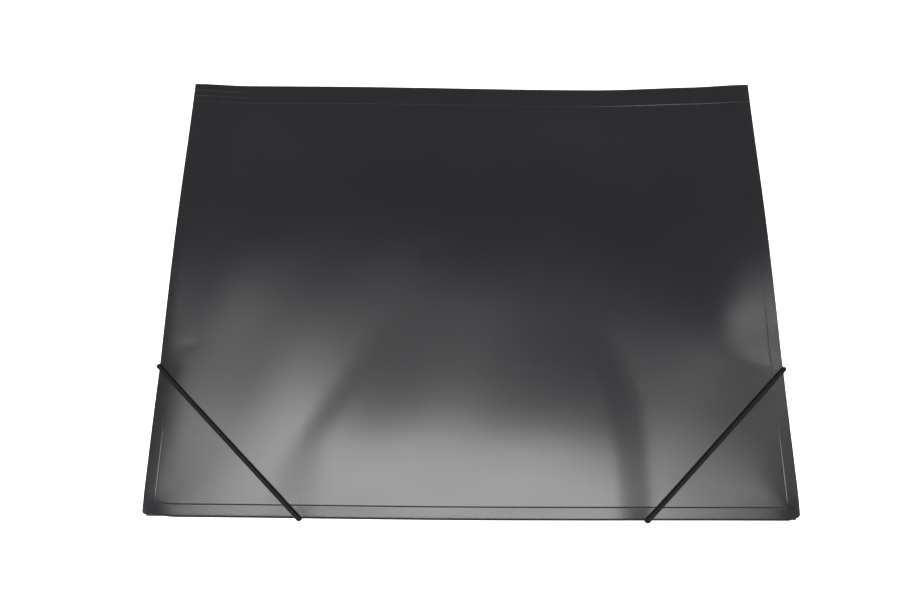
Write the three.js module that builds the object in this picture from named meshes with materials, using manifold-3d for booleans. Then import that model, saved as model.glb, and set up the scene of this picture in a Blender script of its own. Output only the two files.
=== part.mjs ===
// A landscape folder for A3 drawings, folded from one black polypropylene sheet and held shut by two
// round elastics that cross the corners of its opening edge.
// Millimetres. X runs along the spine, +Y points from the opening edge to the spine, +Z is up.
// The origin is the middle of the underside of the back panel, on which the folder lies.
import * as THREE from "three";
import { mergeVertices } from "three/addons/utils/BufferGeometryUtils.js";
import Module from "manifold-3d";

const wasm = await Module();
wasm.setup();

// Overall sizes
const width = 445;
const depth = 335;
const sheet = 0.7;
const pocketHeight = 4.3;

// Back cover: a panel with a low wall and a folded-in flap on each of its three free edges
const backInset = 0.5;
const backCornerRadius = 0.8;
const foldRadius = 0.9;
const flapDepth = 82;
const flapRise = 1.2;
const flapCornerRadius = 14;
const mitreGap = 3;
const wallEndGap = 3;
const sideWallEnd = 14;
const sideFlapTaper = 26;

// Front cover: a slightly puffed panel with a scored frame line and a border strip that slopes down
const coverGap = 0.3;
const coverCornerRadius = 4.5;
const frameInset = 8.5;
const stripDrop = 0.6;
const stripFade = 60;
const scoreDepth = 0.3;
const scoreHalfWidth = 0.9;
const spineScoreInset = 16;
const spineScoreStep = 5;
const spineScoreCount = 3;
const minorScoreShare = 0.5;
const spineRise = 3.2;
const sidePuff = 2.6;
const sidePuffStart = 0.22;
const middlePuff = 2;
const openingPuff = 1.6;
const openingPuffRun = 18;
const openingPuffFlat = 35;
const openingPuffEnd = 115;
const coverStep = 28;

// Folds: each panel stops this far from the fold line that it turns about
const foldGap = 0.6;
const spineBow = 0.4;
const spineEndInset = 0.6;

// Elastics, with a crimped ferrule and a cross bar on each end
const cordRadius = 1.5;
const cordGap = 0.3;
const sideReach = 103;
const leftOpeningReach = 107;
const rightOpeningReach = 103;
const cordStand = 0.2;
const cordBend = 1.7;
const ferruleWall = 0.25;
const ferruleSocket = 2.5;
const ferruleLength = 4.5;
const barRadius = 0.8;
const barLength = 10;

// Heights and places that follow from the sizes above
const flapTop = sheet + pocketHeight + sheet;
const panelTopAtOpening = flapTop + coverGap + sheet + stripDrop;
const coverTopAtSpine = panelTopAtOpening + spineRise;
const aboveAll = coverTopAtSpine + sidePuff + middlePuff + 10;
const foldLineY = depth / 2 - sheet / 2;
const holeHeight = sheet + pocketHeight / 2;
const holeRadius = cordRadius + cordGap;

const blackSheet = new THREE.MeshStandardMaterial({ color: 0x1d1f22, roughness: 0.5, metalness: 0 });
const blackSheetInside = new THREE.MeshStandardMaterial({ color: 0x222427, roughness: 0.6, metalness: 0 });
const elasticCord = new THREE.MeshStandardMaterial({ color: 0x111214, roughness: 0.85, metalness: 0 });
const platedSteel = new THREE.MeshStandardMaterial({ color: 0xa8abb0, roughness: 0.35, metalness: 1 });

// Shared shape tools

function solidOf(geometry) {
  geometry.deleteAttribute("normal");
  geometry.deleteAttribute("uv");
  const merged = mergeVertices(geometry, 1e-4);
  return new wasm.Manifold(
    new wasm.Mesh({
      numProp: 3,
      vertProperties: merged.attributes.position.array,
      triVerts: new Uint32Array(merged.index.array),
    }),
  );
}

function meshOf(solid, name, material) {
  const data = solid.getMesh();
  const geometry = new THREE.BufferGeometry();
  geometry.setAttribute("position", new THREE.BufferAttribute(data.vertProperties, 3));
  geometry.setIndex(new THREE.BufferAttribute(data.triVerts, 1));
  geometry.computeVertexNormals();
  const mesh = new THREE.Mesh(geometry, material);
  mesh.name = name;
  return mesh;
}

// A closed outline whose corners are given as [x, y, radius].
function roundedOutline(corners) {
  const shape = new THREE.Shape();
  const count = corners.length;
  corners.forEach(([x, y, radius], index) => {
    const [beforeX, beforeY] = corners[(index + count - 1) % count];
    const [afterX, afterY] = corners[(index + 1) % count];
    const corner = new THREE.Vector2(x, y);
    const toBefore = new THREE.Vector2(beforeX - x, beforeY - y).normalize();
    const toAfter = new THREE.Vector2(afterX - x, afterY - y).normalize();
    const halfAngle = Math.acos(THREE.MathUtils.clamp(toBefore.dot(toAfter), -1, 1)) / 2;
    const setback = radius / Math.tan(halfAngle);
    const start = corner.clone().addScaledVector(toBefore, setback);
    const end = corner.clone().addScaledVector(toAfter, setback);
    if (index === 0) shape.moveTo(start.x, start.y);
    else shape.lineTo(start.x, start.y);
    if (radius === 0) return;
    const inwards = toBefore.clone().add(toAfter).normalize();
    const centre = corner.clone().addScaledVector(inwards, radius / Math.sin(halfAngle));
    const clockwise = toBefore.cross(toAfter) > 0;
    shape.absarc(centre.x, centre.y, radius, start.sub(centre).angle(), end.sub(centre).angle(), clockwise);
  });
  shape.closePath();
  return shape;
}

// An upright prism of an outline, from one height to another.
function prism(corners, low, high) {
  const geometry = new THREE.ExtrudeGeometry(roundedOutline(corners), {
    depth: high - low,
    bevelEnabled: false,
    curveSegments: 6,
  });
  geometry.translate(0, 0, low);
  return solidOf(geometry);
}

// The three free edges. Each places a point by its distance inside the outline and its place along the
// edge, and turn swings +X round to the direction that points inwards.
const leftEdge = { at: (inside, along) => [-width / 2 + inside, along], turn: 0 };
const rightEdge = { at: (inside, along) => [width / 2 - inside, along], turn: Math.PI };
const openingEdge = { at: (inside, along) => [along, -depth / 2 + inside], turn: Math.PI / 2 };

// Puts a geometry that was made along +X at an edge, facing inwards.
function placeAtEdge(geometry, edge, inside, along, height) {
  geometry.rotateZ(edge.turn);
  const [x, y] = edge.at(inside, along);
  geometry.translate(x, y, height);
  return geometry;
}

// Each elastic crosses its corner at about 45 degrees. The left one has settled a little further along
// the opening edge than the right one.
const sideHole = -depth / 2 + sideReach;
const leftOpeningHole = -width / 2 + leftOpeningReach;
const rightOpeningHole = width / 2 - rightOpeningReach;
const elastics = [
  { name: "left_elastic", edge: leftEdge, openingHole: leftOpeningHole },
  { name: "right_elastic", edge: rightEdge, openingHole: rightOpeningHole },
];
const elasticEnds = elastics.flatMap(({ name, edge, openingHole }) => [
  { name: `${name}_side_ferrule`, edge, along: sideHole },
  { name: `${name}_opening_ferrule`, edge: openingEdge, along: openingHole },
]);

// The room for a cord: a hole through the wall, open upwards where the cord turns up outside it.
function cordRoom({ edge, along }) {
  const outside = cordStand + holeRadius + 1;
  const length = outside + backInset + sheet + cordGap;
  const hole = new THREE.CylinderGeometry(holeRadius, holeRadius, length, 16);
  hole.rotateZ(Math.PI / 2);
  hole.translate(length / 2 - outside, 0, 0);
  placeAtEdge(hole, edge, 0, along, holeHeight);
  const notch = new THREE.CylinderGeometry(holeRadius, holeRadius, aboveAll - holeHeight, 16);
  notch.rotateX(Math.PI / 2);
  notch.translate(0, 0, (aboveAll - holeHeight) / 2);
  placeAtEdge(notch, edge, -cordStand, along, holeHeight);
  return solidOf(hole).add(solidOf(notch));
}

// Back cover

const backHalf = width / 2 - backInset;
const backLow = -depth / 2 + backInset;
const sideWallTop = foldLineY - sideWallEnd;

// A wall and its flap in section: the sheet turns up at the edge and folds back over the panel. X runs
// inwards from the wall's outer face and Y is up.
function flapSection() {
  const shape = new THREE.Shape();
  const inner = foldRadius - sheet;
  const reach = flapDepth + 1;
  const footReach = foldRadius + 3;
  const upperFold = flapTop - foldRadius;
  shape.moveTo(foldRadius, 0);
  shape.lineTo(footReach, 0);
  shape.lineTo(footReach, sheet);
  shape.absarc(foldRadius, foldRadius, inner, -Math.PI / 2, -Math.PI, true);
  shape.absarc(foldRadius, upperFold, inner, Math.PI, Math.PI / 2, true);
  shape.lineTo(reach, flapTop - sheet + flapRise);
  shape.lineTo(reach, flapTop + flapRise);
  shape.absarc(foldRadius, upperFold, foldRadius, Math.PI / 2, Math.PI, false);
  shape.absarc(foldRadius, foldRadius, foldRadius, Math.PI, Math.PI * 1.5, false);
  return shape;
}

// The section swept along an edge and trimmed to the flap's outline.
function foldedFlap(edge, outline) {
  const length = width + depth;
  const geometry = new THREE.ExtrudeGeometry(flapSection(), {
    depth: length,
    bevelEnabled: false,
    curveSegments: 4,
  });
  geometry.translate(0, 0, -length / 2);
  geometry.rotateX(Math.PI / 2);
  placeAtEdge(geometry, edge, backInset, 0, 0);
  return solidOf(geometry).intersect(prism(outline, -1, aboveAll));
}

function openingFlap() {
  const wallEnd = backHalf - wallEndGap;
  const flapEnd = backHalf - flapDepth - mitreGap / 2;
  return foldedFlap(openingEdge, [
    [-wallEnd, backLow - 1, 0],
    [wallEnd, backLow - 1, 0],
    [wallEnd, backLow + wallEndGap - mitreGap / 2, 0],
    [flapEnd, backLow + flapDepth, flapCornerRadius],
    [-flapEnd, backLow + flapDepth, flapCornerRadius],
    [-wallEnd, backLow + wallEndGap - mitreGap / 2, 0],
  ]);
}

function sideFlap(edge, side) {
  const outer = side * (backHalf + 1);
  const mitreStart = side * (backHalf - wallEndGap + mitreGap / 2);
  const free = side * (backHalf - flapDepth);
  return foldedFlap(edge, [
    [outer, backLow + wallEndGap, 0],
    [outer, sideWallTop, 0],
    [side * (backHalf - foldRadius), sideWallTop, 0],
    [free, sideWallTop - sideFlapTaper, flapCornerRadius],
    [free, backLow + flapDepth + mitreGap / 2, flapCornerRadius],
    [mitreStart, backLow + wallEndGap, 0],
  ]);
}

// The panel reaches the full outline at its corners and at the spine, where no wall stands.
function backPanel() {
  const spineEdge = foldLineY - foldGap;
  const rightHalf = [
    [backHalf - wallEndGap, backLow + foldRadius, 0],
    [backHalf - wallEndGap, backLow, 0],
    [backHalf, backLow, backCornerRadius],
    [backHalf, backLow + wallEndGap, 0],
    [backHalf - foldRadius, backLow + wallEndGap, 0],
    [backHalf - foldRadius, sideWallTop, 0],
    [backHalf, sideWallTop, 0],
    [backHalf, spineEdge, 0],
  ];
  const leftHalf = rightHalf.map(([x, y, radius]) => [-x, y, radius]).reverse();
  return prism([...rightHalf, ...leftHalf], 0, sheet);
}

function backCover() {
  let cover = backPanel().add(openingFlap()).add(sideFlap(leftEdge, -1)).add(sideFlap(rightEdge, 1));
  for (const end of elasticEnds) cover = cover.subtract(cordRoom(end));
  return cover;
}

// Spine: a narrow panel that stands between the two fold lines and bows out a little

function spine() {
  const low = sheet / 2 + foldGap;
  const high = coverTopAtSpine - sheet / 2 - foldGap;
  const section = new THREE.Shape();
  const steps = 6;
  const bow = (share) => spineBow * Math.sin(Math.PI * share);
  const outer = [];
  for (let step = 0; step <= steps; step++) {
    const share = step / steps;
    outer.push([foldLineY + sheet / 2 - spineBow + bow(share), low + (high - low) * share]);
  }
  outer.forEach(([y, z], index) => (index === 0 ? section.moveTo(y, z) : section.lineTo(y, z)));
  outer.reverse().forEach(([y, z]) => section.lineTo(y - sheet, z));
  section.closePath();
  const length = width - 2 * spineEndInset;
  const geometry = new THREE.ExtrudeGeometry(section, { depth: length, bevelEnabled: false });
  geometry.translate(0, 0, -length / 2);
  geometry.rotateX(Math.PI / 2);
  geometry.rotateZ(Math.PI / 2);
  return solidOf(geometry);
}

// Front cover

// How far a place on the cover is inside its three free edges, with the corners rounded.
function insideEdge(x, y) {
  const fromSide = width / 2 - Math.abs(x);
  const fromOpening = y + depth / 2;
  const cornerX = coverCornerRadius - fromSide;
  const cornerY = coverCornerRadius - fromOpening;
  if (cornerX > 0 && cornerY > 0) return coverCornerRadius - Math.hypot(cornerX, cornerY);
  return Math.min(fromSide, fromOpening);
}

function smoothShare(share) {
  return THREE.MathUtils.smoothstep(share, 0, 1);
}

// Between the elastics the opening edge stands a little proud, and it comes down to them at both ends.
function openingRise(x, y) {
  const fromLeft = (x - leftOpeningHole) / openingPuffRun;
  const fromRight = (rightOpeningHole - x) / openingPuffRun;
  const back = (y + depth / 2 - openingPuffFlat) / (openingPuffEnd - openingPuffFlat);
  return openingPuff * smoothShare(Math.min(fromLeft, fromRight)) * (1 - smoothShare(back));
}

// Height of the panel's top: it rises towards the spine, and its sides puff up behind the elastics.
function panelTop(x, y) {
  const across = Math.min(1, Math.abs(x) / (width / 2));
  const along = THREE.MathUtils.clamp((y + depth / 2) / depth, 0, 1);
  const behind = Math.max(0, along - sidePuffStart) / (1 - sidePuffStart);
  const side = sidePuff * Math.sin(Math.PI * behind) ** 2;
  const middle = middlePuff * Math.sin(Math.PI * along);
  const puff = side * across ** 2 + middle * (1 - across ** 2) + openingRise(x, y);
  return panelTopAtOpening + spineRise * along + puff;
}

// The border strip slopes down from the frame line to the free edges, and fades out at the spine.
function stripTop(x, y) {
  const slope = Math.max(0, 1 - insideEdge(x, y) / frameInset);
  const fade = THREE.MathUtils.clamp((foldLineY - y) / stripFade, 0, 1);
  return panelTop(x, y) - stripDrop * slope * fade;
}

// The frame line and the lines beside the spine are scored into the sheet, and the line furthest from
// the spine, which the cover bends at, is the deepest.
function coverTop(x, y) {
  const score = (distance) => scoreDepth * Math.max(0, 1 - Math.abs(distance) / scoreHalfWidth);
  const fade = THREE.MathUtils.clamp((foldLineY - y) / stripFade, 0, 1);
  const frameScore = score(insideEdge(x, y) - frameInset) * fade;
  const spineScore = spineScores.map((inset, index) => {
    const strength = index === 0 ? 1 : minorScoreShare;
    return strength * score(foldLineY - y - inset);
  });
  return stripTop(x, y) - Math.max(frameScore, ...spineScore);
}

// Grid lines from an edge inwards: close together where the sheet bends and wide apart elsewhere.
const edgeSteps = [0, 0.3, 0.6, 1].map((share) => share * coverCornerRadius);
const frameSteps = [-1, 0, 1].map((share) => frameInset + share * scoreHalfWidth);
const spineScores = Array.from({ length: spineScoreCount }, (_, index) => spineScoreInset - index * spineScoreStep);
const spineSteps = spineScores.flatMap((inset) => [1, 0, -1].map((share) => inset + share * scoreHalfWidth));
const puffSteps = [0, 0.3, 0.5, 0.7, 1];

function evenSteps(from, to, step) {
  const count = Math.max(1, Math.round((to - from) / step));
  return Array.from({ length: count - 1 }, (_, index) => from + ((to - from) * (index + 1)) / count);
}

function gridLines() {
  const border = [...edgeSteps, ...frameSteps];
  const leftLines = border.map((inside) => -width / 2 + inside);
  const rightLines = leftLines.map((x) => -x).reverse();
  const nearLines = border.map((inside) => -depth / 2 + inside);
  const farLines = [...spineSteps, foldGap].map((inside) => foldLineY - inside);
  const leftPuff = puffSteps.map((share) => leftOpeningHole + share * openingPuffRun);
  const rightPuff = puffSteps.map((share) => rightOpeningHole - share * openingPuffRun).reverse();
  return {
    xs: [
      ...leftLines,
      ...evenSteps(leftLines.at(-1), leftPuff[0], coverStep),
      ...leftPuff,
      ...evenSteps(leftPuff.at(-1), rightPuff[0], coverStep),
      ...rightPuff,
      ...evenSteps(rightPuff.at(-1), rightLines[0], coverStep),
      ...rightLines,
    ],
    ys: [...nearLines, ...evenSteps(nearLines.at(-1), farLines[0], coverStep), ...farLines],
  };
}

// Moves a grid point that lies in a corner's square on to the rounded corner's quarter disc.
function roundCorner(x, y) {
  const a = (Math.abs(x) - (width / 2 - coverCornerRadius)) / coverCornerRadius;
  const b = (-depth / 2 + coverCornerRadius - y) / coverCornerRadius;
  if (a <= 0 || b <= 0) return [x, y];
  const outX = a * Math.sqrt(1 - (b * b) / 2) - a;
  const outY = b * Math.sqrt(1 - (a * a) / 2) - b;
  return [x + Math.sign(x) * outX * coverCornerRadius, y - outY * coverCornerRadius];
}

function frontCover() {
  const { xs, ys } = gridLines();
  const columns = xs.length;
  const layer = columns * ys.length;
  const top = [];
  const underside = [];
  for (const lineY of ys) {
    for (const lineX of xs) {
      const [x, y] = roundCorner(lineX, lineY);
      const height = coverTop(x, y);
      top.push(x, y, height);
      underside.push(x, y, height - sheet);
    }
  }
  const faces = [];
  const quad = (a, b, c, d) => faces.push(a, b, c, a, c, d);
  for (let row = 0; row + 1 < ys.length; row++) {
    for (let column = 0; column + 1 < columns; column++) {
      const a = row * columns + column;
      quad(a, a + 1, a + 1 + columns, a + columns);
      quad(layer + a, layer + a + columns, layer + a + 1 + columns, layer + a + 1);
    }
  }
  const lastRow = (ys.length - 1) * columns;
  for (let column = 0; column + 1 < columns; column++) {
    quad(column, layer + column, layer + column + 1, column + 1);
    quad(lastRow + column + 1, layer + lastRow + column + 1, layer + lastRow + column, lastRow + column);
  }
  for (let row = 0; row + 1 < ys.length; row++) {
    const left = row * columns;
    const right = left + columns - 1;
    quad(left + columns, layer + left + columns, layer + left, left);
    quad(right, layer + right, layer + right + columns, right + columns);
  }
  const geometry = new THREE.BufferGeometry();
  geometry.setAttribute("position", new THREE.Float32BufferAttribute([...top, ...underside], 3));
  geometry.setIndex(faces);
  let cover = solidOf(geometry);
  for (const end of elasticEnds) cover = cover.subtract(cordRoom(end));
  return cover;
}

// Elastics

// The points of one bend: a quarter turn from one direction into another.
function quarterBend(start, from, to) {
  const steps = 4;
  const points = [];
  for (let step = 0; step <= steps; step++) {
    const angle = (Math.PI / 2) * (step / steps);
    const point = start.clone();
    point.addScaledVector(from, cordBend * Math.sin(angle));
    point.addScaledVector(to, cordBend * (1 - Math.cos(angle)));
    points.push(point);
  }
  return points;
}

// From inside its ferrule, through the wall and up past the cover's edge, as far as the cover's corner
// side, where the cord turns to cross the corner.
function endRoute({ edge, along }, across) {
  const cordEnd = backInset + sheet + cordGap + ferruleSocket - cordGap;
  const outwards = new THREE.Vector3(-Math.cos(edge.turn), -Math.sin(edge.turn), 0);
  const up = new THREE.Vector3(0, 0, 1);
  const start = new THREE.Vector3(...edge.at(cordEnd, along), holeHeight);
  const bendStart = new THREE.Vector3(...edge.at(cordBend - cordStand, along), holeHeight);
  const [edgeX, edgeY] = edge.at(0, along);
  const topHeight = stripTop(edgeX, edgeY) + cordGap + cordRadius;
  const rise = new THREE.Vector3(...edge.at(-cordStand, along), topHeight - cordBend);
  return [start, ...quarterBend(bendStart, outwards, up), ...quarterBend(rise, up, across)];
}

function elasticRoute({ edge, openingHole }) {
  const sidePlace = new THREE.Vector2(...edge.at(-cordStand, sideHole));
  const openingPlace = new THREE.Vector2(...openingEdge.at(-cordStand, openingHole));
  const run = openingPlace.sub(sidePlace).normalize();
  const across = new THREE.Vector3(run.x, run.y, 0);
  const sideEnd = endRoute({ edge, along: sideHole }, across);
  const openingEnd = endRoute({ edge: openingEdge, along: openingHole }, across.clone().negate());
  const from = sideEnd.at(-1);
  const to = openingEnd.at(-1);
  const span = Math.hypot(to.x - from.x, to.y - from.y);
  const toFrame = (frameInset + cordStand) * Math.SQRT2 - cordBend;
  const crossing = [toFrame, ...evenSteps(toFrame, span - toFrame, 24), span - toFrame].map((distance) => {
    const x = THREE.MathUtils.lerp(from.x, to.x, distance / span);
    const y = THREE.MathUtils.lerp(from.y, to.y, distance / span);
    return new THREE.Vector3(x, y, panelTop(x, y) + cordGap + cordRadius);
  });
  return [...sideEnd, ...crossing, ...openingEnd.reverse()];
}

function elastic(details) {
  const route = elasticRoute(details);
  const path = new THREE.CatmullRomCurve3(route, false, "centripetal");
  // One step for each point of the route, so that the short bends keep their points.
  path.getUtoTmapping = (share) => share;
  const section = new THREE.Shape();
  section.absarc(0, 0, cordRadius, 0, Math.PI * 2, false);
  const geometry = new THREE.ExtrudeGeometry(section, {
    steps: route.length - 1,
    curveSegments: 4,
    bevelEnabled: false,
    extrudePath: path,
  });
  return solidOf(geometry);
}

// A crimped sleeve that is too wide for the hole, with a cross bar on its blind end.
function ferrule({ edge, along }) {
  const bore = cordRadius + cordGap;
  const outer = bore + ferruleWall;
  const profile = [
    [bore, 0],
    [outer, 0],
    [outer, ferruleLength],
    [0, ferruleLength],
    [0, ferruleSocket],
    [bore, ferruleSocket],
    [bore, 0],
  ].map(([radius, length]) => new THREE.Vector2(radius, length));
  const sleeve = new THREE.LatheGeometry(profile, 16);
  sleeve.rotateZ(-Math.PI / 2);
  const bar = new THREE.CylinderGeometry(barRadius, barRadius, barLength, 12);
  bar.translate(ferruleLength - barRadius, 0, 0);
  const mouth = backInset + sheet + cordGap;
  const sleeveSolid = solidOf(placeAtEdge(sleeve, edge, mouth, along, holeHeight));
  return sleeveSolid.add(solidOf(placeAtEdge(bar, edge, mouth, along, holeHeight)));
}

const group = new THREE.Group();
group.add(meshOf(backCover(), "back_cover", blackSheetInside));
group.add(meshOf(spine(), "spine", blackSheet));
group.add(meshOf(frontCover(), "front_cover", blackSheet));
for (const details of elastics) group.add(meshOf(elastic(details), details.name, elasticCord));
for (const end of elasticEnds) group.add(meshOf(ferrule(end), end.name, platedSteel));

export default group;
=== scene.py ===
# The looks of a closed A3 drawing folder: black polypropylene covers with a scored frame line, and two
# braided elastics across the corners of the opening edge. Metres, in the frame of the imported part.
import math

import bpy
import numpy as np
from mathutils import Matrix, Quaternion, Vector


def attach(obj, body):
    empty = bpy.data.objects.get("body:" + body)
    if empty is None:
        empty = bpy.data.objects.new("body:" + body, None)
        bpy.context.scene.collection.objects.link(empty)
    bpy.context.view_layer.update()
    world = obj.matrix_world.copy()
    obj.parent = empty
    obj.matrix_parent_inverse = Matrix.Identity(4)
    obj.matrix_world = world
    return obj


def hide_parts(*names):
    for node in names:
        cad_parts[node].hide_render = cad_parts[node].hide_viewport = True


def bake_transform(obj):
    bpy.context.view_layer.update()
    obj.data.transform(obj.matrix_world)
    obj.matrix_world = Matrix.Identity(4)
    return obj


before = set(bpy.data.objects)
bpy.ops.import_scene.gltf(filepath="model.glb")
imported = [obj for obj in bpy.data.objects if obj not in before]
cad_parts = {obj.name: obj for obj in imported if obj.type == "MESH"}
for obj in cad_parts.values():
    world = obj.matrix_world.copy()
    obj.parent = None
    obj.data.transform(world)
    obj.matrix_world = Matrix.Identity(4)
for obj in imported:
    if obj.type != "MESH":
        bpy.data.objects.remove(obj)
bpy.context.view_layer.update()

MM = 0.001

# Sizes that the part has too
WIDTH = 445 * MM
DEPTH = 335 * MM
SHEET = 0.7 * MM
FRAME_INSET = 8.5 * MM
STRIP_DROP = 0.6 * MM
STRIP_FADE = 60 * MM
SPINE_SCORE_INSETS = np.array([16, 11, 6]) * MM
PANEL_TOP_AT_OPENING = 7.3 * MM
SPINE_RISE = 3.2 * MM
SIDE_PUFF = 2.6 * MM
SIDE_PUFF_START = 0.22
MIDDLE_PUFF = 2 * MM
OPENING_PUFF_RUN = 18 * MM
FOLD_LINE_Y = DEPTH / 2 - SHEET / 2
FOLD_HEIGHT = PANEL_TOP_AT_OPENING + SPINE_RISE - SHEET / 2
CORD_RADIUS = 1.5 * MM
CORD_GAP = 0.3 * MM
CORD_STAND = 0.2 * MM
CORD_BEND = 1.7 * MM
CORD_HOLE_HEIGHT = 2.85 * MM
NOTCH_RADIUS = CORD_RADIUS + CORD_GAP
SIDE_HOLE_Y = -DEPTH / 2 + 103 * MM
LEFT_HOLE_X = -WIDTH / 2 + 107 * MM
RIGHT_HOLE_X = WIDTH / 2 - 103 * MM
OPENING_HOLES = {-1: LEFT_HOLE_X, 1: RIGHT_HOLE_X}

# The worn sheet, fitted to the photo. Where left and right differ, -1 is the left and 1 the right
COVER_CORNER = 2.2 * MM
COVER_FOLD_RADIUS = 1.0 * MM
BACK_FOLD_RADIUS = 0.55 * MM
SPINE_BOW = 0.3 * MM
EDGE_ROUND = 0.45 * MM
EDGE_ROUND_SHARE = 0.9
MOST_THINNING = 0.45 * SHEET
SCORE_DEPTH = 0.2 * MM
SCORE_SPREAD = 0.24 * MM
CORNER_DRAWS = {-1: (1.7 * MM, 24 * MM), 1: (2.2 * MM, 9 * MM)}
CORNER_DRAW_DEPTH = 30 * MM
EDGE_CURL = 0.4 * MM
EDGE_CURL_REACH = 1.3 * MM
CORNER_CURL = 0.9 * MM
CORNER_CURL_REACH = 11 * MM
OPENING_BOW = 0.9 * MM
OPENING_BOW_DEPTH = 60 * MM

# The strip outside the frame line
STRIP_BLEND = 2.2 * MM
STRIP_TURN = 12 * MM
STRIP_SLOPE_LIMIT = 1.1
STRIP_SOFT_START = 50 * MM
STRIP_SOFT_RUN = 50 * MM
OPENING_STRIP_SHARE = 0.65
SIDE_STRIP_CHANGES = {-1: -0.3, 1: -0.45}

# The part of the opening edge that stands proud between the elastics, and its two leaning flanks
OPENING_PUFF = 2.0 * MM
OPENING_PUFF_FLAT = 40 * MM
OPENING_PUFF_END = 145 * MM
FLANK_OFFSETS = {-1: -2 * MM, 1: 7 * MM}
FLANK_LEANS = {-1: 0.62, 1: 0.5}
FLANK_LEAN_STARTS = {-1: 45 * MM, 1: 88 * MM}
FLANK_RUN_SHARES = {-1: 1.6, 1: 1.7}
LEFT_FLANK_WIDENING = 1.5
LEFT_FLANK_WIDE_END = 75 * MM
RAMP_BEND = 25 * MM
RAMP_DROP = 2 * MM

# The sag of the spine edge
SAG_DROP = 4.2 * MM
SAG_PULL = 2.6 * MM
SAG_REACH = 95 * MM
SAG_END_RUN = 45 * MM
SAG_LOWEST_X = 100 * MM
SAG_SPREADS = {-1: 150 * MM, 1: 62 * MM}
SAG_EVEN_SHARE = 0.36

# Waves: height, weights of x and y, length, phase, and whether they fade away from the opening edge
WAVES = [
    (0.32 * MM, 1, 0.35, 150 * MM, 0.4 * math.pi, True),
    (0.22 * MM, 1, -0.5, 95 * MM, 1.3, True),
    (0.3 * MM, 0.15, 1, 170 * MM, 0.6, False),
]
WAVE_INNER_RUN = 30 * MM
WAVE_FADE_START = -20 * MM
WAVE_FADE_RUN = 90 * MM

# Marks and soft swellings, in millimetres: centre, spread across and along, and height
DENTS = [
    (-30, 27, 6, 10, -0.22),
    (-88, 2, 2.5, 1.5, -0.08),
    (46, 12, 2, 4, -0.08),
    (41, -62, 6, 2, 0.06),
    (-203, -49, 8, 3.5, -0.14),
    (236, -34, 28, 20, 0.5),
    (186, -34, 34, 34, 1.0),
    (-200, -100, 34, 42, 0.75),
]

# The crease at the right elastic's side notch, and the press of the elastics at their notches
CREASE_SLOPE = 0.28
CREASE_SOFTNESS = 1.5 * MM
CREASE_RUN = 12 * MM
CREASE_DEPTH = 1.3 * MM
CREASE_REACH = 30 * MM
CREASE_BACK_REACH = 50 * MM
SIDE_PINCHES = {-1: 0.45 * MM, 1: 0.05 * MM}
SIDE_PINCH_REACH = 12 * MM
OPENING_PINCH = 0.3 * MM
OPENING_PINCH_REACH = 8 * MM

# How strongly the scored lines show along their lengths, and how far they are whitened, with a painted
# highlight along the right side's frame line
FRAME_END_START = 9 * MM
FRAME_END_RUN = 7 * MM
LEFT_LINE_STRENGTH = 0.3
LEFT_LINE_END = -125 * MM
LEFT_LINE_RUN = 30 * MM
RIGHT_LINE_PARTS = [(0.5, -135 * MM, 26 * MM), (0.4, -48 * MM, 16 * MM)]
RIGHT_LINE_STRENGTH = 0.1
RIGHT_LINE_END = 60 * MM
MAIN_LINE_BRIGHT_X = 160 * MM
MAIN_LINE_BASE = 0.35
MAIN_LINE_SPREAD = 50 * MM
MINOR_LINE_BASE = 0.08
MINOR_LINE_GAIN = 0.3
MINOR_LINE_SPREAD = 55 * MM
EDGE_WEAR = 0.15
EDGE_WEAR_REACH = 0.35 * MM
MAIN_LINE_WEAR = 0.6
MAIN_WEAR_BASE = 0.25
MAIN_WEAR_SPREAD = 34 * MM
MINOR_LINE_WEAR = 0.3
MINOR_WEAR_SPREAD = 45 * MM
# Strength and reach of the painted highlight on the right side's frame line
SIDE_LINE_HIGHLIGHT = 0.6
SIDE_HIGHLIGHT_REACH = 12 * MM
FOLD_WEAR = 0.12

# Grid of the sheet
GRID_STEP = 3.4 * MM
NEAREST_LINE_SHARE = 0.45
NOTCH_FADE = 5.5 * MM
SHARP_ANGLE = math.radians(50)

# The braided elastics: thicker where they bend round the cover's edge
CORD_REST = CORD_RADIUS + 0.1 * MM
CORD_END_INSIDE = 3.7 * MM
CORD_SIDES = 32
CORD_STEP = 0.34 * MM
STRETCHED_RADIUS = 1.55 * MM
BENT_RADIUS = 2.15 * MM
BEND_PLACE = 6.8 * MM
BEND_SPREAD = 2.6 * MM
BRAID_STRANDS = 6
BRAID_LAY = 9 * MM
BRAID_RELIEF = 0.2 * MM

# Camera, worked out from the outline of the folder in the photo
FRAME_WIDTH_PX = 900
FOCAL_PX = 704.2
CENTRE_PX = 459.5
CAMERA_PLACE = Vector((-3.8, -162.8, 503.4)) * MM
CAMERA_PITCH = math.radians(73.27)
CAMERA_YAW = math.radians(1.616)
CAMERA_ROLL = math.radians(1.32)
SENSOR_WIDTH_MM = 36

# Softboxes over the folder: name, place, size, radiance, and turn in degrees
SOFTBOXES = [
    ("overhead_softbox", (-0.07, -0.22, 1.2), (1.14, 0.5), 8.1, -7),
    ("left_softbox", (-0.46, 0.12, 1.2), (0.34, 0.16), 2.6, 0),
    ("back_softbox", (-0.2, 0.24, 1.2), (0.9, 0.3), 0.45, 0),
    ("right_softbox", (0.87, 0.2, 1.2), (0.14, 0.16), 10, 0),
    ("right_fill", (0.58, -0.23, 1.2), (0.34, 0.38), 2.8, 0),
]
ROOM_LOW = (0.45, 0.45, 0.47)
ROOM_HIGH = (0.1, 0.1, 0.107)
FLOOR_HALF = 2.5
FLOOR_LEVEL = -0.02 * MM
FLOOR_COLOUR = (0.86, 0.86, 0.86, 1)

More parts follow.
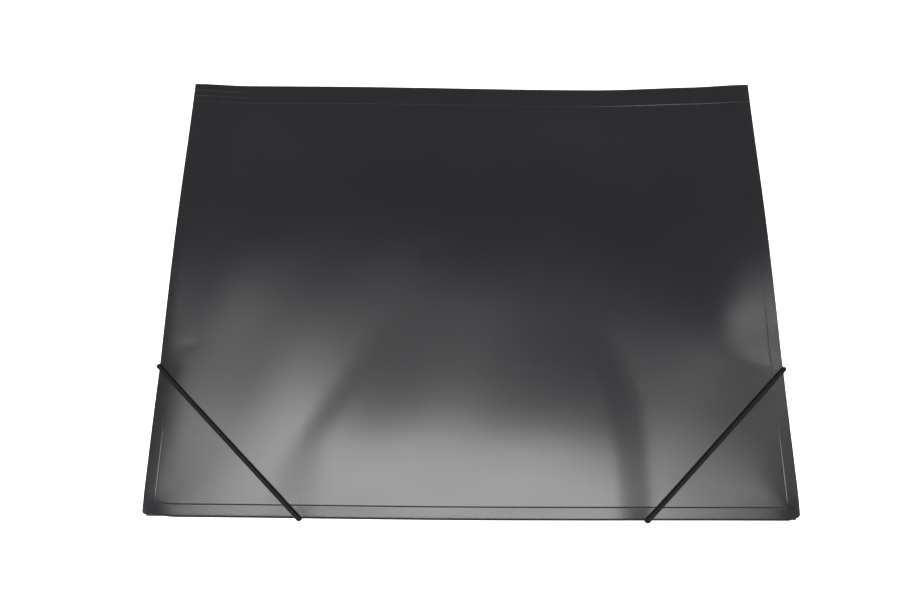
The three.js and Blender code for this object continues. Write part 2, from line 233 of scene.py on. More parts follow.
# Colours, dark and light
OUTSIDE_COLOURS = ((0.0105, 0.0108, 0.0125), (0.0145, 0.0148, 0.017))
INSIDE_COLOURS = ((0.016, 0.0165, 0.018), (0.022, 0.0225, 0.025))
# Paler colour mixed in where the sheet is whitened, and as a painted highlight along the right side's
# frame line
WEAR_AND_HIGHLIGHT_COLOUR = (0.13, 0.132, 0.138, 1)
CORD_COLOURS = ((0.003, 0.003, 0.0034), (0.009, 0.009, 0.01))
STEEL_COLOURS = ((0.5, 0.5, 0.52), (0.68, 0.68, 0.7))
WHITE = (1, 1, 1, 1)


def smooth(share):
    share = np.clip(share, 0.0, 1.0)
    return share * share * (3 - 2 * share)


def bell(value, centre, spread):
    return np.exp(-(((value - centre) / spread) ** 2))


def soft_ramp(distance):
    """Zero below 0 and the distance itself well above it, with a soft bend between."""
    return 0.5 * (distance + np.hypot(distance, RAMP_BEND)) - RAMP_DROP


def by_side(x, pair):
    """The left value of a pair where x is below 0, and the right one elsewhere."""
    return np.where(x < 0, pair[-1], pair[1])


# Shader nodes


def new_material(name):
    material = bpy.data.materials.new(name)
    material.use_nodes = True
    return material, material.node_tree.nodes, material.node_tree.links


def noise(nodes, links, vector, scale, detail, roughness=0.5):
    texture = nodes.new("ShaderNodeTexNoise")
    texture.inputs["Scale"].default_value = scale
    texture.inputs["Detail"].default_value = detail
    texture.inputs["Roughness"].default_value = roughness
    links.new(vector, texture.inputs["Vector"])
    return texture.outputs["Fac"]


def remap(nodes, links, value, low, high, to_low, to_high):
    node = nodes.new("ShaderNodeMapRange")
    node.inputs["From Min"].default_value = low
    node.inputs["From Max"].default_value = high
    node.inputs["To Min"].default_value = to_low
    node.inputs["To Max"].default_value = to_high
    links.new(value, node.inputs["Value"])
    return node.outputs["Result"]


def colour_mix(nodes, links, value, first, second):
    node = nodes.new("ShaderNodeMix")
    node.data_type = "RGBA"
    node.inputs["A"].default_value = (*first, 1)
    node.inputs["B"].default_value = (*second, 1)
    links.new(value, node.inputs["Factor"])
    return node.outputs["Result"]


def bump(nodes, links, height, distance, strength, below=None):
    node = nodes.new("ShaderNodeBump")
    node.inputs["Distance"].default_value = distance
    node.inputs["Strength"].default_value = strength
    links.new(height, node.inputs["Height"])
    if below is not None:
        links.new(below, node.inputs["Normal"])
    return node.outputs["Normal"]


# Camera, light and floor


def add_camera():
    data = bpy.data.cameras.new("camera")
    data.sensor_width = SENSOR_WIDTH_MM
    data.lens = FOCAL_PX / FRAME_WIDTH_PX * SENSOR_WIDTH_MM
    data.shift_x = (FRAME_WIDTH_PX / 2 - CENTRE_PX) / FRAME_WIDTH_PX
    data.clip_start = 0.01
    camera = bpy.data.objects.new("camera", data)
    camera.location = CAMERA_PLACE
    camera.rotation_mode = "QUATERNION"
    forward = Vector((0, math.cos(CAMERA_PITCH), -math.sin(CAMERA_PITCH)))
    turned = Quaternion((0, 0, 1), CAMERA_YAW) @ forward.to_track_quat("-Z", "Y")
    view_line = turned @ Vector((0, 0, -1))
    camera.rotation_quaternion = Quaternion(view_line, CAMERA_ROLL) @ turned
    bpy.context.collection.objects.link(camera)
    bpy.context.scene.camera = camera


def add_softbox(name, place, size, radiance, turn):
    """A square-edged lamp that faces straight down, turned about the vertical."""
    data = bpy.data.lights.new(name, "AREA")
    data.shape = "RECTANGLE"
    data.size, data.size_y = size
    data.energy = radiance * math.pi * size[0] * size[1]
    light = bpy.data.objects.new(name, data)
    light.location = place
    light.rotation_euler = (0, 0, math.radians(turn))
    bpy.context.collection.objects.link(light)


def add_room():
    """Reflections come from a grey room that is darker overhead, and the camera sees white behind it."""
    world = bpy.data.worlds.new("studio")
    world.use_nodes = True
    nodes, links = world.node_tree.nodes, world.node_tree.links
    background = nodes["Background"]
    background.inputs["Strength"].default_value = 1.0
    direction = nodes.new("ShaderNodeSeparateXYZ")
    links.new(nodes.new("ShaderNodeTexCoord").outputs["Generated"], direction.inputs[0])
    height = remap(nodes, links, direction.outputs["Z"], 0.6, 0.92, 0, 1)
    seen = nodes.new("ShaderNodeMix")
    seen.data_type = "RGBA"
    seen.inputs["B"].default_value = WHITE
    links.new(nodes.new("ShaderNodeLightPath").outputs["Is Camera Ray"], seen.inputs["Factor"])
    links.new(colour_mix(nodes, links, height, ROOM_LOW, ROOM_HIGH), seen.inputs["A"])
    links.new(seen.outputs["Result"], background.inputs["Color"])
    bpy.context.scene.world = world


def add_floor():
    """The floor lights the folder as white paper would, and the camera sees it as plain white."""
    mesh = bpy.data.meshes.new("floor")
    corners = [(-1, -1), (1, -1), (1, 1), (-1, 1)]
    points = [(x * FLOOR_HALF, y * FLOOR_HALF, FLOOR_LEVEL) for x, y in corners]
    mesh.from_pydata(points, [], [(0, 1, 2, 3)])
    floor = bpy.data.objects.new("floor", mesh)
    bpy.context.collection.objects.link(floor)
    material, nodes, links = new_material("floor")
    shader = nodes["Principled BSDF"]
    shader.inputs["Base Color"].default_value = FLOOR_COLOUR
    shader.inputs["Roughness"].default_value = 0.9
    glow = nodes.new("ShaderNodeEmission")
    glow.inputs["Color"].default_value = WHITE
    links.new(nodes.new("ShaderNodeLightPath").outputs["Is Camera Ray"], glow.inputs["Strength"])
    both = nodes.new("ShaderNodeAddShader")
    links.new(shader.outputs[0], both.inputs[0])
    links.new(glow.outputs[0], both.inputs[1])
    links.new(both.outputs[0], nodes["Material Output"].inputs["Surface"])
    mesh.materials.append(material)


# Materials


def polypropylene(name, coordinates, colours, roughness_range):
    """Satin black sheet: a fine even grain, faint clouding, and a paler colour in patches from a point
    attribute: rubbed whitening at edges and scores, and a painted highlight along the right frame line.
    """
    material, nodes, links = new_material(name)
    shader = nodes["Principled BSDF"]
    place = nodes.new("ShaderNodeTexCoord").outputs[coordinates]
    clouds = noise(nodes, links, place, 18, 3)
    rubs = noise(nodes, links, place, 620, 3, 0.6)
    grain = noise(nodes, links, place, 1000, 3, 0.7)
    fine = noise(nodes, links, place, 4200, 1)
    patches = remap(nodes, links, noise(nodes, links, place, 160, 3), 0.35, 0.6, 0, 1)
    wear_and_highlight = nodes.new("ShaderNodeAttribute")
    wear_and_highlight.attribute_name = "wear_and_highlight"
    patchy = nodes.new("ShaderNodeMath")
    patchy.operation = "MULTIPLY"
    links.new(wear_and_highlight.outputs["Fac"], patchy.inputs[0])
    links.new(patches, patchy.inputs[1])
    # Paler colour: real whitening, and a painted highlight along the right frame line
    whitened_and_highlit = nodes.new("ShaderNodeMix")
    whitened_and_highlit.data_type = "RGBA"
    whitened_and_highlit.inputs["B"].default_value = WEAR_AND_HIGHLIGHT_COLOUR
    links.new(patchy.outputs[0], whitened_and_highlit.inputs["Factor"])
    links.new(colour_mix(nodes, links, clouds, *colours), whitened_and_highlit.inputs["A"])
    links.new(whitened_and_highlit.outputs["Result"], shader.inputs["Base Color"])
    links.new(remap(nodes, links, rubs, 0.3, 0.7, *roughness_range), shader.inputs["Roughness"])
    shader.inputs["IOR"].default_value = 1.55
    coarse = bump(nodes, links, grain, 0.06 * MM, 0.6)
    links.new(bump(nodes, links, fine, 0.015 * MM, 0.3, coarse), shader.inputs["Normal"])
    return material


def braided_cord():
    material, nodes, links = new_material("braided_cord")
    shader = nodes["Principled BSDF"]
    place = nodes.new("ShaderNodeTexCoord").outputs["UV"]
    threads = nodes.new("ShaderNodeTexWave")
    threads.wave_type = "BANDS"
    threads.bands_direction = "DIAGONAL"
    threads.inputs["Scale"].default_value = 900
    threads.inputs["Distortion"].default_value = 2
    links.new(place, threads.inputs["Vector"])
    fuzz = noise(nodes, links, place, 3000, 3)
    links.new(colour_mix(nodes, links, fuzz, *CORD_COLOURS), shader.inputs["Base Color"])
    links.new(bump(nodes, links, threads.outputs["Fac"], 0.06 * MM, 0.5), shader.inputs["Normal"])
    shader.inputs["Roughness"].default_value = 0.6
    shader.inputs["IOR"].default_value = 1.3
    return material


def plated_steel():
    material, nodes, links = new_material("plated_steel")
    shader = nodes["Principled BSDF"]
    place = nodes.new("ShaderNodeTexCoord").outputs["Object"]
    scratches = noise(nodes, links, place, 2500, 4, 0.7)
    links.new(colour_mix(nodes, links, scratches, *STEEL_COLOURS), shader.inputs["Base Color"])
    links.new(remap(nodes, links, scratches, 0.3, 0.7, 0.25, 0.45), shader.inputs["Roughness"])
    shader.inputs["Metallic"].default_value = 1.0
    return material


# Form of the front cover, as heights of its top face over the floor


def inside_edge(x, y):
    """Distance inside the cover's three free edges, with its corners rounded."""
    from_side = WIDTH / 2 - np.abs(x)
    from_opening = y + DEPTH / 2
    corner_x = COVER_CORNER - from_side
    corner_y = COVER_CORNER - from_opening
    rounded = COVER_CORNER - np.hypot(corner_x, corner_y)
    return np.where((corner_x > 0) & (corner_y > 0), rounded, np.minimum(from_side, from_opening))


def opening_rise(x, y):
    """Between the elastics the opening edge stands proud, and its flanks lean in towards the spine."""
    from_opening = y + DEPTH / 2
    left, right = (
        OPENING_HOLES[side]
        + FLANK_OFFSETS[side]
        - side * FLANK_LEANS[side] * soft_ramp(from_opening - FLANK_LEAN_STARTS[side])
        for side in (-1, 1)
    )
    widening = LEFT_FLANK_WIDENING * smooth(1 - from_opening / LEFT_FLANK_WIDE_END)
    left_run = (FLANK_RUN_SHARES[-1] + widening) * OPENING_PUFF_RUN
    right_run = FLANK_RUN_SHARES[1] * OPENING_PUFF_RUN
    flanks = smooth(0.5 + (x - left) / left_run) * smooth((right - x) / right_run)
    back = (from_opening - OPENING_PUFF_FLAT) / (OPENING_PUFF_END - OPENING_PUFF_FLAT)
    return OPENING_PUFF * flanks * (1 - smooth(back))


def panel_top(x, y):
    across = np.minimum(1, np.abs(x) / (WIDTH / 2))
    along = np.clip((y + DEPTH / 2) / DEPTH, 0, 1)
    behind = np.maximum(0, along - SIDE_PUFF_START) / (1 - SIDE_PUFF_START)
    side = SIDE_PUFF * np.sin(np.pi * behind) ** 2
    middle = MIDDLE_PUFF * np.sin(np.pi * along)
    puff = side * across**2 + middle * (1 - across**2) + opening_rise(x, y)
    return PANEL_TOP_AT_OPENING + SPINE_RISE * along + puff


def spine_fade(y):
    return np.clip((FOLD_LINE_Y - y) / STRIP_FADE, 0, 1)


def strip_top(x, y):
    """The border strip slopes down: creased at the opening edge, and softly rounded along the sides."""
    from_side = np.maximum(0, WIDTH / 2 - np.abs(x))
    from_opening = np.maximum(0, y + DEPTH / 2)
    inside = -STRIP_BLEND * np.log(np.exp(-from_side / STRIP_BLEND) + np.exp(-from_opening / STRIP_BLEND))
    slope = np.clip(1 - inside / FRAME_INSET, 0, STRIP_SLOPE_LIMIT)
    on_side = smooth((from_opening - from_side) / STRIP_TURN + 0.5)
    creased = 1 - on_side * (0.5 + 0.5 * smooth((from_opening - STRIP_SOFT_START) / STRIP_SOFT_RUN))
    drop = STRIP_DROP * (OPENING_STRIP_SHARE + on_side * by_side(x, SIDE_STRIP_CHANGES)) * spine_fade(y)
    curl = CORNER_CURL * bell(np.hypot(from_side, from_opening), 0, CORNER_CURL_REACH)
    curl = curl + EDGE_CURL * np.clip(1 - from_opening / EDGE_CURL_REACH, 0, 1) ** 2
    return panel_top(x, y) - drop * (creased * slope + (1 - creased) * slope**2) - curl


def sag_share(x):
    """How far the spine edge has sunk along its length: most to the right of its middle."""
    even = smooth((WIDTH / 2 - np.abs(x)) / SAG_END_RUN)
    lowest = bell(x, SAG_LOWEST_X, by_side(x - SAG_LOWEST_X, SAG_SPREADS))
    return SAG_EVEN_SHARE * even + (1 - SAG_EVEN_SHARE) * lowest


def spine_near(y):
    return smooth(1 - (FOLD_LINE_Y - y) / SAG_REACH)


def waves(x, y):
    """Broad unevenness of a thin sheet: it shows only in how the light breaks on the cover."""
    near = 1 - smooth((y - WAVE_FADE_START) / WAVE_FADE_RUN)
    height = 0
    for amplitude, weight_x, weight_y, length, phase, fades in WAVES:
        wave = amplitude * np.sin(2 * np.pi * (weight_x * x + weight_y * y) / length + phase)
        height = height + (wave * near if fades else wave)
    return height * smooth(inside_edge(x, y) / WAVE_INNER_RUN)


def dents(x, y):
    """The marks and soft swellings, each a small bell."""
    height = 0
    for centre_x, centre_y, spread_x, spread_y, rise in DENTS:
        shape = bell(x, centre_x * MM, spread_x * MM) * bell(y, centre_y * MM, spread_y * MM)
        height = height + rise * MM * shape
    return height


def notch_crease(x, y):
    """A crease that runs in from the right elastic's side notch, with the sheet sunk behind it."""
    from_side = WIDTH / 2 - x
    behind = y - SIDE_HOLE_Y - CREASE_SLOPE * from_side
    softened = CREASE_SOFTNESS * np.logaddexp(0, behind / CREASE_SOFTNESS)
    sunk = 1 - np.exp(-softened / CREASE_RUN)
    return -CREASE_DEPTH * sunk * bell(from_side, 0, CREASE_REACH) * bell(behind, 0, CREASE_BACK_REACH)


def pinch(x, y):
    """The elastics press the cover down round their notches."""
    height = 0
    for side, hole_x in OPENING_HOLES.items():
        side_distance = np.hypot(x - side * WIDTH / 2, y - SIDE_HOLE_Y)
        opening_distance = np.hypot(x - hole_x, y + DEPTH / 2)
        height = height - SIDE_PINCHES[side] * bell(side_distance, 0, SIDE_PINCH_REACH)
        height = height - OPENING_PINCH * bell(opening_distance, 0, OPENING_PINCH_REACH)
    return height


def score(distance):
    return bell(distance, 0, SCORE_SPREAD)


def frame_line(x, y):
    """The scored frame line, which fades out just before the two near corners."""
    from_side = WIDTH / 2 - np.abs(x)
    from_opening = y + DEPTH / 2
    near_end = smooth((np.maximum(from_side, from_opening) - FRAME_END_START) / FRAME_END_RUN)
    left = LEFT_LINE_STRENGTH * (1 - smooth((y - LEFT_LINE_END) / LEFT_LINE_RUN))
    right = RIGHT_LINE_STRENGTH * (y < RIGHT_LINE_END)
    for strength, centre_y, spread in RIGHT_LINE_PARTS:
        right = right + strength * bell(y, centre_y, spread)
    strength = np.where(from_side < from_opening, np.where(x < 0, left, right), 1)
    return score(inside_edge(x, y) - FRAME_INSET) * spine_fade(y) * near_end * strength


def spine_lines(x, y):
    """The scored lines beside the spine: one deep one, and two that show mostly at the left end."""
    main = MAIN_LINE_BASE + (1 - MAIN_LINE_BASE) * bell(x, MAIN_LINE_BRIGHT_X, MAIN_LINE_SPREAD)
    minor = MINOR_LINE_BASE + MINOR_LINE_GAIN * bell(x, -WIDTH / 2, MINOR_LINE_SPREAD)
    from_fold = FOLD_LINE_Y - y
    return sum(
        strength * score(from_fold - inset)
        for strength, inset in zip([main, minor, minor], SPINE_SCORE_INSETS)
    )


def soft_top(x, y):
    """The cover's top without its scored lines."""
    sag = SAG_DROP * sag_share(x) * spine_near(y)
    return strip_top(x, y) - sag + waves(x, y) + dents(x, y) + notch_crease(x, y) + pinch(x, y)


def cover_top(x, y):
    return soft_top(x, y) - SCORE_DEPTH * np.maximum(frame_line(x, y), spine_lines(x, y))


def cover_wear_and_highlight(x, y):
    """Where the sheet is whitened along its free edges and its spine's scored lines, with a painted
    highlight along the right side's frame line.
    """
    edge = EDGE_WEAR * np.exp(-np.maximum(inside_edge(x, y), 0) / EDGE_WEAR_REACH)
    bright = MAIN_WEAR_BASE + (1 - MAIN_WEAR_BASE) * bell(x, MAIN_LINE_BRIGHT_X, MAIN_WEAR_SPREAD)
    main_line, *minor_lines = [score(FOLD_LINE_Y - y - inset) for inset in SPINE_SCORE_INSETS]
    at_left_end = bell(x, -WIDTH / 2, MINOR_WEAR_SPREAD)
    # Painted highlight: the right side's frame line is made paler in colour, standing in for light caught
    # along its groove
    side_line_highlight = frame_line(x, y) * (x > WIDTH / 2 - SIDE_HIGHLIGHT_REACH)
    lines = MAIN_LINE_WEAR * main_line * bright + MINOR_LINE_WEAR * sum(minor_lines) * at_left_end
    return np.clip(edge + lines + SIDE_LINE_HIGHLIGHT * side_line_highlight, 0, 1)


def edge_rounding(inside):
    """How much of the thickness each face loses near a free edge."""
    share = np.clip(1 - np.maximum(inside, 0) / EDGE_ROUND, 0, 1)
    rounded = EDGE_ROUND * (1 - np.sqrt(1 - EDGE_ROUND_SHARE * share**2))
    return np.minimum(rounded, MOST_THINNING)


# Grid of the sheet, with its lines closest where it bends: distances in millimetres from an edge,
# from a scored line, from the middle of a notch or from the fold line

EDGE_INSETS = np.array([0, 0.06, 0.14, 0.28, 0.45, 0.9, 1.5, 2.2, 3.1, 3.8, 4.5, 5.3, 6.0, 6.8, 7.4, 7.8])
SCORE_OFFSETS = np.array([-0.55, -0.36, -0.24, -0.12, 0, 0.12, 0.24, 0.36, 0.55])
AFTER_INSETS = np.array([9.3, 10.0, 11.2, 13, 15.5, 18.5])
HALF_NOTCH = np.array([0.35, 0.7, 1.1, 1.4, 1.65, 1.75, 1.79, 2.2, 2.7])
NOTCH_OFFSETS = np.concatenate([-HALF_NOTCH[::-1], [0], HALF_NOTCH])
BORDER = np.concatenate([EDGE_INSETS * MM, FRAME_INSET + SCORE_OFFSETS * MM, AFTER_INSETS * MM])
SPINE_ROWS = np.array([18.5, 17.2, 14.5, 13, 9.5, 8, 4.2, 2.8, 1.8])


def fill_between(lines, low, high):
    """Even lines from low to high, left out where a given line is near."""
    count = int(round((high - low) / GRID_STEP))
    even = np.linspace(low, high, count + 1)[1:-1]
    nearest = NEAREST_LINE_SHARE * GRID_STEP
    kept = [value for value in even if np.min(np.abs(lines - value)) > nearest]
    return np.sort(np.concatenate([lines, kept]))


def column_lines():
    notches = [hole_x + NOTCH_OFFSETS * MM for hole_x in OPENING_HOLES.values()]
    lines = np.concatenate([-WIDTH / 2 + BORDER, WIDTH / 2 - BORDER, *notches])
    return fill_between(np.sort(lines), -WIDTH / 2 + BORDER[-1], WIDTH / 2 - BORDER[-1])


def cover_row_lines():
    scores = [FOLD_LINE_Y - inset + SCORE_OFFSETS * MM for inset in SPINE_SCORE_INSETS]
    last = FOLD_LINE_Y - COVER_FOLD_RADIUS
    between = FOLD_LINE_Y - SPINE_ROWS * MM
    notch = SIDE_HOLE_Y + NOTCH_OFFSETS * MM
    lines = np.concatenate([-DEPTH / 2 + BORDER, notch, *scores, between, [last]])
    return fill_between(np.sort(lines), -DEPTH / 2 + BORDER[-1], between[0])


def round_corners(x, y):
    """Moves the grid points in each corner's square on to the quarter disc of the rounded corner."""
    across = np.clip((np.abs(x) - (WIDTH / 2 - COVER_CORNER)) / COVER_CORNER, 0, 1)
    along = np.clip((-DEPTH / 2 + COVER_CORNER - y) / COVER_CORNER, 0, 1)
    out_x = across * np.sqrt(1 - along**2 / 2) - across
    out_y = along * np.sqrt(1 - across**2 / 2) - along
    return x + np.sign(x) * out_x * COVER_CORNER, y - out_y * COVER_CORNER


def notch_depth(along):
    return np.sqrt(np.maximum(NOTCH_RADIUS**2 - along**2, 0)) - CORD_STAND


def cut_notches(x, y):
    """Draws the edge in round each elastic, less and less over a part of the border strip."""
    for side in (-1, 1):
        depth = np.maximum(0, notch_depth(y - SIDE_HOLE_Y))
        inside = WIDTH / 2 - side * x
        x = x - side * depth * np.clip(1 - inside / NOTCH_FADE, 0, 1)
        depth = np.maximum(0, notch_depth(x - OPENING_HOLES[side]))
        inside = y + DEPTH / 2
        y = y + depth * np.clip(1 - inside / NOTCH_FADE, 0, 1)
    return x, y


def settle_opening_edge(x, y):
    """The opening edge bows out in its middle and is drawn in at its two corners."""
    from_opening = y + DEPTH / 2
    drawn = 0
    for side, (draw, reach) in CORNER_DRAWS.items():
        drawn = drawn + draw * smooth(1 - (WIDTH / 2 - side * x) / reach)
    bow = OPENING_BOW * np.cos(np.pi * x / WIDTH) ** 2
    near_corner = smooth(1 - from_opening / CORNER_DRAW_DEPTH)
    near_edge = smooth(1 - from_opening / OPENING_BOW_DEPTH)
    return y + drawn * near_corner - bow * near_edge


def mesh_piece(name, vertices, faces, uvs, material):
    mesh = bpy.data.meshes.new(name)
    mesh.from_pydata([tuple(v) for v in vertices], [], faces)
    layer = mesh.uv_layers.new(name="UVMap")
    loop_vertices = np.empty(len(mesh.loops), dtype=np.int32)
    mesh.loops.foreach_get("vertex_index", loop_vertices)
    layer.data.foreach_set("uv", np.asarray(uvs)[loop_vertices].ravel())
    mesh.materials.append(material)
    mesh.polygons.foreach_set("use_smooth", [True] * len(mesh.polygons))
    mesh.set_sharp_from_angle(angle=SHARP_ANGLE)
    piece = bpy.data.objects.new(name, mesh)
    bpy.context.collection.objects.link(piece)
    return piece


def closed_sheet(name, x, y, z, thinning, uvs, wear_and_highlight, material):
    """A closed shell round a middle surface given as rows of points, with the sheet's thickness."""
    rows, columns = x.shape
    step_y = np.gradient(y, axis=0)
    step_z = np.gradient(z, axis=0)
    length = np.hypot(step_y, step_z)
    normal_y, normal_z = -step_z / length, step_y / length
    half = SHEET / 2 - thinning
    outer = np.stack([x, y + normal_y * half, z + normal_z * half], axis=-1).reshape(-1, 3)
    inner = np.stack([x, y - normal_y * half, z - normal_z * half], axis=-1).reshape(-1, 3)
    layer = rows * columns
    faces = []
    for row in range(rows - 1):
        start = row * columns
        for a in range(start, start + columns - 1):
            faces.append((a, a + 1, a + 1 + columns, a + columns))
            faces.append((layer + a, layer + a + columns, layer + a + 1 + columns, layer + a + 1))
    last = (rows - 1) * columns
    for a in range(columns - 1):
        faces.append((a, layer + a, layer + a + 1, a + 1))
        faces.append((last + a + 1, layer + last + a + 1, layer + last + a, last + a))
    for a in range(0, last, columns):
        b = a + columns - 1
        faces.append((a + columns, layer + a + columns, layer + a, a))
        faces.append((b, layer + b, layer + b + columns, b + columns))
    uvs = uvs.reshape(-1, 2)
    piece = mesh_piece(name, np.concatenate([outer, inner]), faces, np.concatenate([uvs, uvs]), material)
    attribute = piece.data.attributes.new("wear_and_highlight", "FLOAT", "POINT")
    attribute.data.foreach_set("value", np.concatenate([wear_and_highlight.ravel(), wear_and_highlight.ravel()]))
    return piece


# Front cover with the upper half of the spine


def fold_place(x):
    """Where the middle of the sheet turns over the spine: pulled in and down where the edge sags."""
    return FOLD_LINE_Y - SAG_PULL * sag_share(x), FOLD_HEIGHT - SAG_DROP * sag_share(x)


def spine_line(x, share):
    """The spine's middle surface from the back fold, at share 0, to the cover fold, at share 1."""
    top_y, top_z = fold_place(x)
    low_z = SHEET / 2 + BACK_FOLD_RADIUS
    high_z = top_z - COVER_FOLD_RADIUS
    lean = smooth(share) * (FOLD_LINE_Y - top_y)
    place_y = FOLD_LINE_Y - lean + SPINE_BOW * np.sin(np.pi * share) - SPINE_BOW
    return place_y, low_z + (high_z - low_z) * share


def front_sheet(material):
    xs = column_lines()
    ys = cover_row_lines()
    x, y = np.meshgrid(xs, ys)
    flat_y = y.copy()
    x, y = round_corners(x, y)
    x, y = cut_notches(x, y)
    thinning = edge_rounding(inside_edge(x, y))
    z = cover_top(x, y) - SHEET / 2
    wear_and_highlight = cover_wear_and_highlight(x, y)
    y = settle_opening_edge(x, y - SAG_PULL * sag_share(x) * spine_near(y))
    rows = [(x, y, z, thinning, flat_y, wear_and_highlight)]

    top_y, top_z = fold_place(xs)
    for turn in np.linspace(0, math.pi / 2, 7)[1:]:
        arc_y = top_y - COVER_FOLD_RADIUS + COVER_FOLD_RADIUS * math.sin(turn)
        arc_z = top_z - COVER_FOLD_RADIUS + COVER_FOLD_RADIUS * math.cos(turn)
        flat = FOLD_LINE_Y - COVER_FOLD_RADIUS + COVER_FOLD_RADIUS * turn
        rows.append((xs, arc_y, arc_z, 0, flat, FOLD_WEAR))
    for share in np.linspace(1, 0.5, 5)[1:]:
        down_y, down_z = spine_line(xs, share)
        rows.append((xs, down_y, down_z, 0, FOLD_LINE_Y + FOLD_HEIGHT * (1 - share), 0))
    shape = (-1, len(xs))
    stacked = [
        np.concatenate([np.broadcast_to(row[part], np.reshape(row[0], shape).shape) for row in rows])
        for part in range(6)
    ]
    x, y, z, thinning, flat_y, wear_and_highlight = stacked
    uvs = np.stack([np.broadcast_to(xs, x.shape), flat_y], axis=-1)
    piece = closed_sheet("front_sheet", x, y, z, thinning, uvs, wear_and_highlight, material)
    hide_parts("front_cover", "spine")
    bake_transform(piece)


def spine_sheet(material):
    xs = column_lines()
    rows = []
    for share in np.linspace(0.5, 0, 6):
        down_y, down_z = spine_line(xs, share)
        rows.append((down_y, down_z, FOLD_HEIGHT * (1 - share)))
    for turn in np.linspace(0, math.pi / 2, 6)[1:]:
        arc_y = FOLD_LINE_Y - SPINE_BOW - BACK_FOLD_RADIUS + BACK_FOLD_RADIUS * math.cos(turn)
        arc_z = SHEET / 2 + BACK_FOLD_RADIUS - BACK_FOLD_RADIUS * math.sin(turn)
        rows.append((arc_y, arc_z, FOLD_HEIGHT + BACK_FOLD_RADIUS * turn))
    x = np.array([xs for _ in rows])
    y, z, flat = (np.array([np.broadcast_to(row[part], xs.shape) for row in rows]) for part in range(3))
    uvs = np.stack([x, FOLD_LINE_Y + flat], axis=-1)
    level = np.zeros_like(x)
    piece = closed_sheet("spine_sheet", x, y, z, level, uvs, level, material)
    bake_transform(piece)


# Elastics


def quarter_bend(start, direction, to):
    angles = np.linspace(0, math.pi / 2, 9)
    out = np.outer(np.sin(angles), direction) + np.outer(1 - np.cos(angles), to)
    return start + CORD_BEND * out


def edge_point(edge, inside, along, height):
    if edge == "opening":
        return np.array([along, -DEPTH / 2 + inside, height])
    return np.array([edge * (WIDTH / 2 - inside), along, height])


def end_route(edge, along, across):
    """From inside the ferrule, out through the wall and up past the cover's edge."""
    outwards = np.array([0, -1, 0]) if edge == "opening" else np.array([edge, 0, 0])
    up = np.array([0, 0, 1])
    place = edge_point(edge, 0, along, 0)
    top = float(soft_top(place[0], place[1])) + CORD_REST
    start = edge_point(edge, CORD_END_INSIDE, along, CORD_HOLE_HEIGHT)
    bend_start = edge_point(edge, CORD_BEND - CORD_STAND, along, CORD_HOLE_HEIGHT)
    rise = edge_point(edge, -CORD_STAND, along, top - CORD_BEND)
    return np.vstack([start, quarter_bend(bend_start, outwards, up), quarter_bend(rise, up, across)])


def taut(distances, heights):
    """The line that a taut cord takes over an uneven surface: the upper hull of its profile."""
    hull = []
    for point in zip(distances, heights):
        while len(hull) > 1:
            (x0, z0), (x1, z1) = hull[-2:]
            if (z1 - z0) * (point[0] - x0) > (point[1] - z0) * (x1 - x0):
                break
            hull.pop()
        hull.append(point)
    return np.interp(distances, *np.array(hull).T)


def elastic_route(side):
    side_place = edge_point(side, -CORD_STAND, SIDE_HOLE_Y, 0)
    opening_place = edge_point("opening", -CORD_STAND, OPENING_HOLES[side], 0)
    across = (opening_place - side_place) / np.linalg.norm(opening_place - side_place)
    side_end = end_route(side, SIDE_HOLE_Y, across)
    opening_end = end_route("opening", OPENING_HOLES[side], -across)
    start, end = side_end[-1], opening_end[-1]
    shares = np.linspace(0, 1, 60)
    middle = start + np.outer(shares, end - start)
    surface = soft_top(middle[:, 0], middle[:, 1]) + CORD_REST
    surface[0], surface[-1] = start[2], end[2]
    middle[:, 2] = taut(shares, surface)
    return np.vstack([side_end, middle[1:-1], opening_end[::-1]])


def resampled(route, step):
    lengths = np.concatenate([[0], np.cumsum(np.linalg.norm(np.diff(route, axis=0), axis=1))])
    along = np.linspace(0, lengths[-1], int(lengths[-1] / step) + 1)
    points = np.stack([np.interp(along, lengths, route[:, axis]) for axis in range(3)], axis=1)
    return along, points


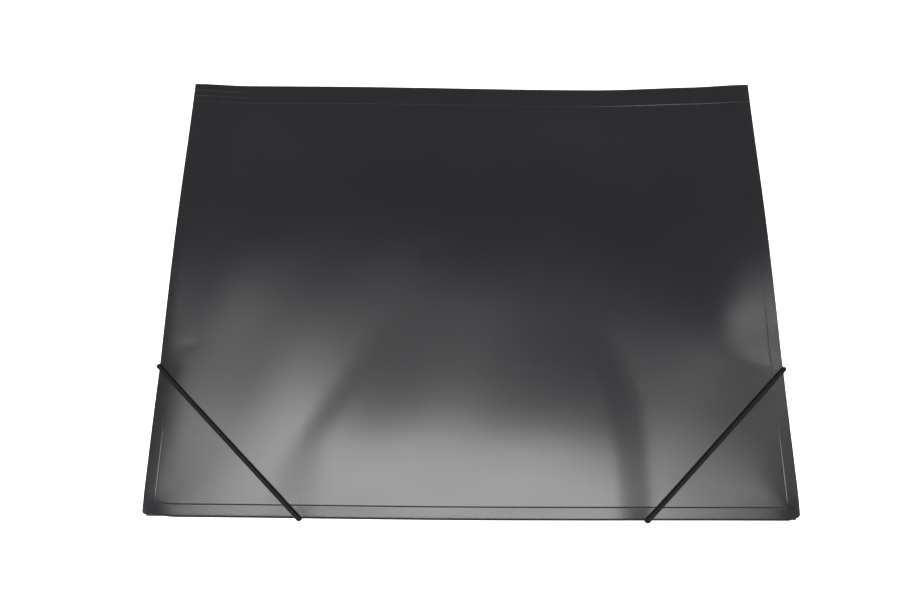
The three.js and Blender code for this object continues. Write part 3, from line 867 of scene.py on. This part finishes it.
def elastic(name, side, material):
    """A tube along the route, with the ridges of the braid's crossing strands."""
    along, points = resampled(elastic_route(side), CORD_STEP)
    tangents = np.gradient(points, axis=0)
    tangents /= np.linalg.norm(tangents, axis=1, keepdims=True)
    normal = np.array([0.0, 0.0, 1.0])
    vertices, uvs = [], []
    angles = np.linspace(0, 2 * math.pi, CORD_SIDES, endpoint=False)
    for distance, point, tangent in zip(along, points, tangents):
        normal = normal - tangent * normal.dot(tangent)
        normal /= np.linalg.norm(normal)
        binormal = np.cross(tangent, normal)
        twist = 2 * math.pi * distance / BRAID_LAY
        right = np.cos(BRAID_STRANDS * (angles + twist))
        left = np.cos(BRAID_STRANDS * (angles - twist))
        bent = bell(min(distance, along[-1] - distance), BEND_PLACE, BEND_SPREAD)
        radius = STRETCHED_RADIUS + (BENT_RADIUS - STRETCHED_RADIUS) * bent
        radius = radius - BRAID_RELIEF * (0.5 - 0.5 * np.maximum(right, left))
        ring = np.outer(radius * np.cos(angles), normal) + np.outer(radius * np.sin(angles), binormal)
        vertices.append(point + ring)
        uvs.append(np.stack([CORD_RADIUS * angles, np.full(CORD_SIDES, distance)], axis=1))
    count = len(vertices)
    faces = []
    for start in range(0, (count - 1) * CORD_SIDES, CORD_SIDES):
        after = start + CORD_SIDES
        for a in range(CORD_SIDES):
            b = (a + 1) % CORD_SIDES
            faces.append((start + a, start + b, after + b, after + a))
    faces.append(tuple(range(CORD_SIDES - 1, -1, -1)))
    faces.append(tuple(range((count - 1) * CORD_SIDES, count * CORD_SIDES)))
    piece = mesh_piece(name + "_cord", np.vstack(vertices), faces, np.vstack(uvs), material)
    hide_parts(name)
    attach(piece, "back")


def dress_node(name, material):
    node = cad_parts[name]
    node.data.materials.clear()
    node.data.materials.append(material)


bpy.context.scene.view_settings.view_transform = "Standard"
add_camera()
add_room()
for softbox in SOFTBOXES:
    add_softbox(*softbox)
add_floor()
outside = polypropylene("satin_black_sheet", "UV", OUTSIDE_COLOURS, (0.22, 0.245))
inside = polypropylene("matt_black_sheet", "Object", INSIDE_COLOURS, (0.42, 0.5))
cord = braided_cord()
steel = plated_steel()
front_sheet(outside)
spine_sheet(outside)
for elastic_name, elastic_side in (("left_elastic", -1), ("right_elastic", 1)):
    elastic(elastic_name, elastic_side, cord)
dress_node("back_cover", inside)
for node_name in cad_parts:
    if node_name.endswith("_ferrule"):
        dress_node(node_name, steel)
